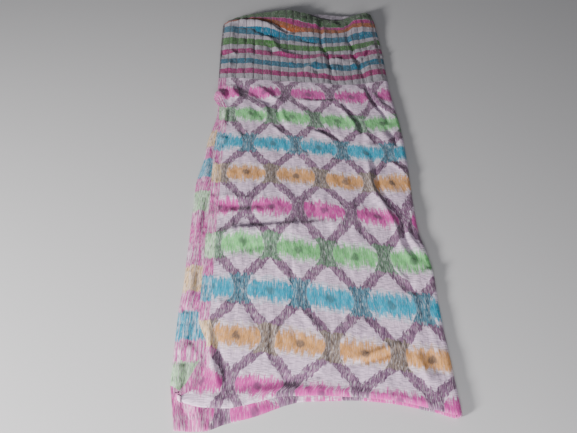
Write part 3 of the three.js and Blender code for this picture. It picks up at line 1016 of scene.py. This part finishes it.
def with_grain_shade_and_sheen(tree, colour, across, along):
    """A colour with the uneven threads on it, and their painted shade and painted sheen."""
    group = shared("Thread grain, painted shade and sheen", grain_shade_and_sheen_group)
    node = placed_group(tree, group, Color=colour, Across=across, Along=along)
    return Wire(tree, node.outputs["Color"])


# Form of a cell of the lattice, on the flat cloth
CELL_HALF = 0.0355  # half the width of a cell at its row's middle, where it is round
NECK_HALF = 0.0245  # how far a row's dark necks reach along the cloth, each way
CELL_SHOULDER = 0.0257  # half the width of a cell where the necks end
CELL_TAPER = 0.816  # how fast it narrows from there to its pointed ends
OVAL_HALF = 0.0195  # how far the coloured oval reaches along the cloth, each way
EYE_HALF = 0.0066  # the same for the dark eye
BUNDLE = 0.0030  # width of a bundle of threads that was dyed together
THREAD = 0.0013  # width of one thread, or of a few that look alike
ROW_COLOURS = ("pink", "tan", "turquoise", "green")  # in this order from the near edge


def cell_half(off_along):
    """Half the width of a cell at a distance from its row's middle: round, then pointed."""
    round_part = (CELL_HALF**2 - off_along * off_along).math("MAXIMUM", CELL_SHOULDER**2)
    past_neck = off_along.math("MAXIMUM", NECK_HALF) - NECK_HALF
    return round_part.math("SQRT") - past_neck * CELL_TAPER


def lattice_group(colours):
    """The lattice: pointed cells with a dyed oval each, between plum bands with darker necks."""
    tree, wires, end = new_group("Pointed lattice", FLAT_PLACE, ONE_COLOUR)
    across, along = wires["Across"], wires["Along"]

    def dyed(width, place, seed):
        """A random number, about 0, for each bundle of threads and stretch of a given length."""
        stretch = (along / place).math("ROUND")
        return speckle(tree, joined(tree, (across / width).math("FLOOR"), stretch, seed)) - 0.5

    drift = cloudy(tree, joined(tree, across * 60, along * 14, 0.0)) - 0.5
    band_along = along + dyed(BUNDLE, 10.0, 1.0) * 0.0062 + drift * 0.005

    row = (band_along / ROW).math("ROUND")
    odd = row.math("PINGPONG", 1.0)
    off_across = (across + odd * (CELL / 2)).math("PINGPONG", CELL / 2)
    off_along = band_along.math("PINGPONG", ROW / 2)
    own = cell_half(off_along) - off_across
    neighbour = cell_half(ROW - off_along) - (CELL / 2 - off_across)
    in_cell = own.math("MAXIMUM", neighbour).rises(-0.0007, 0.0007)
    in_own_cell = own.rises(-0.0007, 0.0007)

    family = (row * 0.25 + 0.125).math("FRACT")
    dye, neck, eye_dye = [
        colour_bands(tree, family, [(n / 4, linear(getattr(colours, name + part)))
                                    for n, name in enumerate(ROW_COLOURS)])
        for part in ("", "_neck", "_eye")
    ]
    threads = speckle(tree, joined(tree, (across / THREAD).math("FLOOR"), 0.0, 4.0))
    dashes = cloudy(tree, joined(tree, across * 800, along * 170, 2.0), 2.0)
    weft = cloudy(tree, joined(tree, across * 90, along * 620, 3.0), 2.0)

    # The dye, deepest in the oval's middle and brushed out in spikes above and below
    dye_along = along + drift * 0.008 + dyed(BUNDLE, ROW, 5.0) * 0.0050
    dye_off = (dye_along - row * ROW).math("ABSOLUTE")
    end_share = off_across / CELL_HALF
    spike = dyed(BUNDLE, ROW, 6.0) * 0.0085 + dyed(BUNDLE * 0.5, ROW, 7.0) * 0.0050
    oval_edge = (1.0 - end_share * end_share * 0.36) * OVAL_HALF + spike
    oval = (oval_edge - dye_off).rises(-0.0016, 0.0026)
    brush = cloudy(tree, joined(tree, across * 480, along * 40, 0.0), 3.0)
    middle = 1.0 - (dye_off / OVAL_HALF).clamped()
    depth = (brush.rises(0.34, 0.54) * 0.62 + middle * 0.80 + 0.16).clamped() * oval
    eye_off = (off_across * off_across + (dye_off * dye_off)).math("SQRT")
    eye = (EYE_HALF - eye_off).rises(-0.0022, 0.0022)

    in_row = (NECK_HALF - off_along).rises(-0.0014, 0.0014)
    field = mixed(tree, in_row, linear(colours.lilac), linear(colours.white))
    field = mixed(tree, weft.rises(0.42, 0.62) * 0.72, field, linear(colours.grey))
    halo = in_row * brush.rises(0.35, 0.65)
    dyed_cell = mixed(tree, halo * 0.30, field, dye)
    deep_dye = mixed(tree, 0.5, dye, with_grain_shade_and_sheen(tree, dye, across, along))
    dyed_cell = mixed(tree, depth, dyed_cell, deep_dye)
    dyed_cell = mixed(tree, eye * (dashes.rises(0.2, 0.6) * 0.5 + 0.45), dyed_cell, eye_dye)
    cell = mixed(tree, in_own_cell, field, dyed_cell)

    mottle = (threads * 0.55 + dashes.rises(0.35, 0.65) * 0.45).clamped()
    plum = mixed(tree, mottle * 0.9, linear(colours.plum), linear(colours.pale_plum))
    neck = mixed(tree, mottle * 0.16, neck, linear(colours.white))
    neck = mixed(tree, threads.rises(0.66, 0.76) * 0.50, neck, linear(colours.thread))
    band = with_grain_shade_and_sheen(tree, mixed(tree, in_row, plum, neck), across, along)
    colour = mixed(tree, in_cell, band, cell)
    tree.links.new(colour.socket, end.inputs["Color"])
    return tree


def border_group(colours):
    """The woven border: pink ground with a pale block of each row's colour."""
    tree, wires, end = new_group("Woven border", FLAT_PLACE, ONE_COLOUR)
    across, along = wires["Across"], wires["Along"]
    bundle = (across / (BUNDLE * 0.6)).math("FLOOR")
    jitter = speckle(tree, joined(tree, bundle, 5.0, 0.0)) - 0.5
    dyed = along + jitter * 0.006
    row = (dyed / ROW).math("ROUND")
    family = (row * 0.25 + 0.125).math("FRACT")
    blocks = [(n / 4, linear(getattr(colours, "border_" + name)))
              for n, name in enumerate(ROW_COLOURS)]
    block = colour_bands(tree, family, blocks)
    in_block = (0.0235 - dyed.math("PINGPONG", ROW / 2)).rises(-0.0010, 0.0010)
    streak = cloudy(tree, joined(tree, across * 380, along * 22, 0.0), 3.0)
    pale = streak.rises(0.42, 0.66)
    ground = mixed(tree, pale * 0.75, linear(colours.border_ground), linear(colours.border_white))
    block = mixed(tree, pale * 0.45, block, linear(colours.border_white))
    colour = with_grain_shade_and_sheen(tree, mixed(tree, in_block, ground, block), across, along)
    tree.links.new(colour.socket, end.inputs["Color"])
    return tree


# The stripes: their colour, and where each begins and ends past the start of the stripes
STRIPE_REACH = 0.30
DARK_HALF = 0.0008  # half the width of a dark thread
STITCH_ACROSS, STITCH_ALONG = 0.004, 0.005  # how often its darkness changes
STRIPE_BANDS = (
    ("stripe_magenta", 0.0190, 0.0370),
    ("stripe_turquoise", 0.0530, 0.0725),
    ("stripe_magenta", 0.0905, 0.1075),
    ("stripe_green", 0.1215, 0.1425),
    ("stripe_turquoise", 0.1580, 0.1820),
    ("stripe_orange", 0.2020, 0.2320),
    ("stripe_magenta", 0.2320, 0.2490),
    ("stripe_end_green", 0.2500, 0.2990),
)


def stripes_group(colours):
    """The striped end, with thin dark lengthwise threads across the pale ground."""
    tree, wires, end = new_group("Cross stripes", FLAT_PLACE, ONE_COLOUR)
    across, along = wires["Across"], wires["Along"]
    bundle = (across / (BUNDLE * 0.5)).math("FLOOR")
    jitter = speckle(tree, joined(tree, bundle, 6.0, 0.0)) - 0.5
    past = (along + jitter * 0.0012 - STRIPES_AT) / STRIPE_REACH
    # The stripes' pale ground is set darker than the lattice's, partly as painted shade over the
    # far end
    white = linear(colours.shaded_stripe_white)
    bands = [(0.0, white)]
    for name, start, finish_at in STRIPE_BANDS:
        bands.append((start / STRIPE_REACH, linear(getattr(colours, name))))
        bands.append((finish_at / STRIPE_REACH, white))
    base = colour_bands(tree, past, bands)
    streak = cloudy(tree, joined(tree, across * 420, along * 60, 0.0), 3.0)
    streaks = streak.rises(0.35, 0.75) * 0.50
    shade = mixed(tree, streaks, base, linear(colours.stripe_shade), "MULTIPLY")
    thread = (DARK_HALF - across.math("PINGPONG", THREAD_PITCH / 2)).rises(-0.0004, 0.0004)
    stitch_across = (across / STITCH_ACROSS).math("FLOOR")
    stitch_along = (along / STITCH_ALONG).math("FLOOR")
    dash = speckle(tree, joined(tree, stitch_across, stitch_along, 8.0))
    shade = mixed(tree, 0.45, shade, with_grain_shade_and_sheen(tree, shade, across, along))
    inked = mixed(tree, thread * (dash * 0.40 + 0.55), shade, linear(colours.thread))
    tree.links.new(inked.socket, end.inputs["Color"])
    return tree


def relief_group():
    """Height of the plain weave, with fine crinkles along the cloth."""
    tree, wires, end = new_group("Crinkled weave", FLAT_PLACE, (("Height", NUMBER),))
    across, along = wires["Across"], wires["Along"]
    weft = cloudy(tree, joined(tree, across * 260, along * 1500, 0.0), 1.0)
    warp = cloudy(tree, joined(tree, across * 1500, along * 160, 5.0), 1.0)
    crinkle = cloudy(tree, joined(tree, across * 330, along * 60, 9.0), 3.0)
    height = weft * 0.35 + warp * 0.35 + crinkle * 1.1
    tree.links.new(height.socket, end.inputs["Height"])
    return tree


def placed_group(tree, group, **values):
    """A node group set down in a material, with values or wires for its inputs."""
    node = tree.nodes.new("ShaderNodeGroup")
    node.node_tree = group
    for title, value in values.items():
        feed(tree, node.inputs[title], value)
    return node


CLOTH_FINISH = {
    "Roughness": 0.88,
    "Specular IOR Level": 0.25,
    "Sheen Weight": 0.25,
    "Sheen Roughness": 0.5,
}
BUMP_STRENGTH = 0.55
BUMP_HEIGHT = 0.0010


def cloth_material(name, colours, faded=0.0):
    """Soft woven cloth. faded mixes in the paler back of the cloth."""
    made = bpy.data.materials.get(name)
    if made:
        return made
    material = bpy.data.materials.new(name)
    material.use_nodes = True
    tree = material.node_tree
    shader = tree.nodes["Principled BSDF"]
    for socket, value in CLOTH_FINISH.items():
        shader.inputs[socket].default_value = value

    weave = tree.nodes.new("ShaderNodeUVMap")
    weave.uv_map = "Weave"
    parts = tree.nodes.new("ShaderNodeSeparateXYZ")
    tree.links.new(weave.outputs[0], parts.inputs[0])
    across, along = Wire(tree, parts.outputs[0]), Wire(tree, parts.outputs[1])
    edge = tree.nodes.new("ShaderNodeAttribute")
    edge.attribute_name = "from_edge"
    from_edge = Wire(tree, edge.outputs["Fac"])

    border, lattice, stripes = [
        Wire(tree, placed_group(tree, shared(title, make, colours),
                                Across=across, Along=along).outputs["Color"])
        for title, make in (
            ("Woven border", border_group),
            ("Pointed lattice", lattice_group),
            ("Cross stripes", stripes_group),
        )
    ]
    in_field = (from_edge - BORDER).rises(-0.0006, 0.0006)
    in_stripes = (along - STRIPES_AT).rises(-0.0004, 0.0004)
    colour = mixed(tree, in_stripes, mixed(tree, in_field, border, lattice), stripes)
    if faded:
        colour = mixed(tree, faded, colour, linear(colours.grey))
    tree.links.new(colour.socket, shader.inputs["Base Color"])

    height = placed_group(tree, shared("Crinkled weave", relief_group), Across=across, Along=along)
    bump = tree.nodes.new("ShaderNodeBump")
    bump.inputs["Strength"].default_value = BUMP_STRENGTH
    bump.inputs["Distance"].default_value = BUMP_HEIGHT
    tree.links.new(height.outputs["Height"], bump.inputs["Height"])
    tree.links.new(bump.outputs[0], shader.inputs["Normal"])
    return material


def shared(name, make, *values):
    """A node group that is made once and used by every material."""
    return bpy.data.node_groups.get(name) or make(*values)


# ---------------------------------------------------------------------------- the user's settings


def colour_setting(title, shown):
    """A colour that the user can change, as the eye sees it, from 0 to 255."""
    return bpy.props.FloatVectorProperty(
        name=title, description=f"{title}, red, green and blue from 0 to 255",
        default=shown, min=0, max=255, size=3,
    )


class ScarfSizes(bpy.types.PropertyGroup):
    thickness: bpy.props.FloatProperty(
        name="Cloth thickness", description="Thickness of one layer of the cloth",
        default=0.0012, min=0.0004, max=0.002, unit="LENGTH",
    )


class ScarfColours(bpy.types.PropertyGroup):
    white: colour_setting("Pale ground beside the ovals", (242, 228, 246))
    lilac: colour_setting("Lilac ground between the rows", (236, 208, 236))
    grey: colour_setting("Grey threads of the ground", (160, 144, 164))
    plum: colour_setting("Plum bands", (104, 66, 104))
    pale_plum: colour_setting("Pale threads of the bands", (168, 132, 160))
    pink: colour_setting("Pink ovals", (206, 66, 160))
    tan: colour_setting("Tan ovals", (222, 160, 96))
    turquoise: colour_setting("Turquoise ovals", (0, 166, 200))
    green: colour_setting("Green ovals", (120, 206, 124))
    pink_neck: colour_setting("Necks between the pink ovals", (128, 80, 120))
    tan_neck: colour_setting("Necks between the tan ovals", (134, 116, 98))
    turquoise_neck: colour_setting("Necks between the turquoise ovals", (44, 124, 148))
    green_neck: colour_setting("Necks between the green ovals", (90, 136, 98))
    pink_eye: colour_setting("Eyes of the pink ovals", (124, 66, 108))
    tan_eye: colour_setting("Eyes of the tan ovals", (110, 92, 80))
    turquoise_eye: colour_setting("Eyes of the turquoise ovals", (62, 112, 128))
    green_eye: colour_setting("Eyes of the green ovals", (84, 120, 88))
    border_ground: colour_setting("Border ground", (204, 84, 164))
    border_white: colour_setting("Pale threads of the border", (240, 222, 236))
    border_pink: colour_setting("Border, pink blocks", (206, 84, 164))
    border_tan: colour_setting("Border, tan blocks", (226, 190, 140))
    border_turquoise: colour_setting("Border, turquoise blocks", (24, 156, 188))
    border_green: colour_setting("Border, green blocks", (168, 214, 164))
    # Set darker than the lattice's pale ground, partly as painted shade over the far end
    shaded_stripe_white: colour_setting("Stripes' pale ground", (172, 165, 176))
    stripe_shade: colour_setting("Shade in the stripes", (128, 118, 130))
    stripe_magenta: colour_setting("Magenta stripes", (158, 22, 108))
    stripe_turquoise: colour_setting("Turquoise stripes", (0, 104, 134))
    stripe_green: colour_setting("Green stripes", (60, 120, 48))
    stripe_orange: colour_setting("Orange stripes", (156, 82, 34))
    stripe_end_green: colour_setting("Green end band", (56, 90, 52))
    thread: colour_setting("Dark lengthwise threads", (58, 50, 58))


def settings(context):
    return context.scene.scarf_sizes, context.scene.scarf_colours


# ---------------------------------------------------------------------------- operators


class PatternedStretch(bpy.types.Operator):
    """The body of the top layer, with the woven lattice."""

    bl_idname = "scarf.patterned_stretch"
    bl_label = "Patterned stretch"

    def execute(self, context):
        sizes, colours = settings(context)
        piece = cloth("body_cloth", ACROSS, BODY_ROWS, top_form(body_lines))
        material = cloth_material("Lattice cloth", colours)
        finish(piece, ["patterned_stretch"], material, sizes)
        return {"FINISHED"}


class StripedEnd(bpy.types.Operator):
    """The striped end of the top layer, with its raised wavy edge."""

    bl_idname = "scarf.striped_end"
    bl_label = "Striped end"

    def execute(self, context):
        sizes, colours = settings(context)
        piece = cloth("end_cloth", ACROSS, END_ROWS, top_form(end_lines))
        material = cloth_material("Striped cloth", colours)
        finish(piece, ["striped_end"], material, sizes)
        return {"FINISHED"}


class CrossFolds(bpy.types.Operator):
    """The two cross folds at the near edge, one above the other."""

    bl_idname = "scarf.cross_folds"
    bl_label = "Cross folds"

    def execute(self, context):
        sizes, colours = settings(context)
        material = cloth_material("Lattice cloth", colours)
        for name, node, form in (
            ("upper_fold_cloth", "upper_cross_fold", upper_fold_form),
            ("lower_fold_cloth", "lower_cross_fold", lower_fold_form),
        ):
            piece = cloth(name, ACROSS, CROSS_FOLD_ROWS, form)
            finish(piece, [node], material, sizes)
        return {"FINISHED"}


class LengthwiseFold(bpy.types.Operator):
    """The fold down the right-hand side."""

    bl_idname = "scarf.lengthwise_fold"
    bl_label = "Lengthwise fold"

    def execute(self, context):
        sizes, colours = settings(context)
        piece = cloth("side_fold_cloth", SIDE_COLUMNS, SIDE_ROWS.total, side_fold_form)
        material = cloth_material("Lattice cloth", colours)
        finish(piece, ["lengthwise_fold"], material, sizes)
        return {"FINISHED"}


class BorderStrip(bpy.types.Operator):
    """The third layer's woven border, which shows along the left side."""

    bl_idname = "scarf.border_strip"
    bl_label = "Border strip"

    def execute(self, context):
        sizes, colours = settings(context)
        piece = cloth("border_cloth", *BORDER_GRID, border_form)
        material = cloth_material("Border cloth", colours)
        finish(piece, ["border_strip"], material, sizes)
        return {"FINISHED"}


class InnerLayers(bpy.types.Operator):
    """The hidden layers, whose edges show at the far end and the left, and the bottom layer."""

    bl_idname = "scarf.inner_layers"
    bl_label = "Inner layers"

    def execute(self, context):
        sizes, colours = settings(context)
        inner = cloth_material("Inner cloth", colours, faded=0.35)
        hidden = cloth("hidden_cloth", *HIDDEN_GRID, hidden_form)
        finish(hidden, ["hidden_layers"], inner, sizes)
        under = cloth("under_cloth", *UNDER_GRID, under_form)
        finish(under, ["under_layer"], inner, sizes)
        return {"FINISHED"}


class Stage(bpy.types.Operator):
    """A plain pale floor, soft light and the camera."""

    bl_idname = "scarf.stage"
    bl_label = "Stage"

    def execute(self, context):
        make_floor()
        for lamp in LAMPS:
            make_lamp(lamp)
        world = bpy.data.worlds.new("Soft room")
        world.use_nodes = True
        background = world.node_tree.nodes["Background"]
        background.inputs["Color"].default_value = ROOM_COLOUR
        background.inputs["Strength"].default_value = ROOM_STRENGTH
        context.scene.world = world
        make_camera(context.scene)
        return {"FINISHED"}


class Lamp(NamedTuple):
    name: str
    place: tuple
    aim: tuple
    width: float
    power: float
    colour: tuple


LAMPS = (
    Lamp("key light", (-1.32, -1.14, 0.54), (0.0, -0.15, 0.0), 0.32, 62.0, (1.0, 0.98, 0.97)),
    Lamp("near light", (0.02, -1.22, 0.50), (0.0, -0.30, 0.0), 0.40, 8.5, (1.0, 0.98, 0.99)),
)

CAMERA_PLACE = Vector((-0.043, -0.699, 0.7086))
CAMERA_PITCH = math.radians(51.5)  # looking down, from the level
CAMERA_YAW = math.radians(1.406)  # turned from +Y towards +X
CAMERA_FOCAL = 520.0 / 577.0  # focal length, as a share of the frame's width
SENSOR = 36.0
FLOOR_SIZE = 12.0
FLOOR_COLOUR = (0.62, 0.62, 0.63, 1.0)
FLOOR_ROUGHNESS = 0.8
ROOM_COLOUR = (0.93, 0.94, 1.0, 1.0)
ROOM_STRENGTH = 0.15


def make_floor():
    bm = bmesh.new()
    bmesh.ops.create_grid(bm, x_segments=1, y_segments=1, size=FLOOR_SIZE / 2)
    mesh = bpy.data.meshes.new("floor")
    bm.to_mesh(mesh)
    bm.free()
    floor = bpy.data.objects.new("floor", mesh)
    bpy.context.scene.collection.objects.link(floor)
    material = bpy.data.materials.new("Plain pale floor")
    material.use_nodes = True
    shader = material.node_tree.nodes["Principled BSDF"]
    shader.inputs["Base Color"].default_value = FLOOR_COLOUR
    shader.inputs["Roughness"].default_value = FLOOR_ROUGHNESS
    mesh.materials.append(material)


def make_lamp(lamp):
    data = bpy.data.lights.new(lamp.name, "AREA")
    data.shape = "DISK"
    data.size = lamp.width
    data.energy = lamp.power
    data.color = lamp.colour
    holder = bpy.data.objects.new(lamp.name, data)
    holder.location = lamp.place
    facing = Vector(lamp.aim) - Vector(lamp.place)
    holder.rotation_euler = facing.to_track_quat("-Z", "Y").to_euler()
    bpy.context.scene.collection.objects.link(holder)


def make_camera(scene):
    data = bpy.data.cameras.new("camera")
    data.sensor_width = SENSOR
    data.lens = SENSOR * CAMERA_FOCAL
    data.dof.use_dof = False
    camera = bpy.data.objects.new("camera", data)
    tilt = Matrix.Rotation(math.pi / 2 - CAMERA_PITCH, 4, "X")
    turn = Matrix.Rotation(-CAMERA_YAW, 4, "Z") @ tilt
    camera.matrix_world = Matrix.Translation(CAMERA_PLACE) @ turn
    scene.collection.objects.link(camera)
    scene.camera = camera


class ScarfPanel(bpy.types.Panel):
    """The scarf's settings and the steps that build it."""

    bl_idname = "VIEW3D_PT_scarf"
    bl_label = "Folded long scarf"
    bl_space_type = "VIEW_3D"
    bl_region_type = "UI"
    bl_category = "Scarf"

    def draw(self, context):
        sizes, colours = settings(context)
        self.layout.prop(sizes, "thickness")
        for step in STEPS:
            self.layout.operator(step.bl_idname)
        for name in ScarfColours.__annotations__:
            self.layout.prop(colours, name)


STEPS = (
    PatternedStretch,
    StripedEnd,
    CrossFolds,
    LengthwiseFold,
    BorderStrip,
    InnerLayers,
    Stage,
)
CLASSES = (ScarfSizes, ScarfColours, *STEPS, ScarfPanel)


def register():
    for cls in CLASSES:
        bpy.utils.register_class(cls)
    bpy.types.Scene.scarf_sizes = bpy.props.PointerProperty(type=ScarfSizes)
    bpy.types.Scene.scarf_colours = bpy.props.PointerProperty(type=ScarfColours)


def unregister():
    del bpy.types.Scene.scarf_colours
    del bpy.types.Scene.scarf_sizes
    for cls in reversed(CLASSES):
        bpy.utils.unregister_class(cls)


def main():
    register()
    bpy.ops.scarf.patterned_stretch()
    bpy.ops.scarf.striped_end()
    bpy.ops.scarf.cross_folds()
    bpy.ops.scarf.lengthwise_fold()
    bpy.ops.scarf.border_strip()
    bpy.ops.scarf.inner_layers()
    bpy.ops.scarf.stage()


if __name__ == "__main__":
    main()
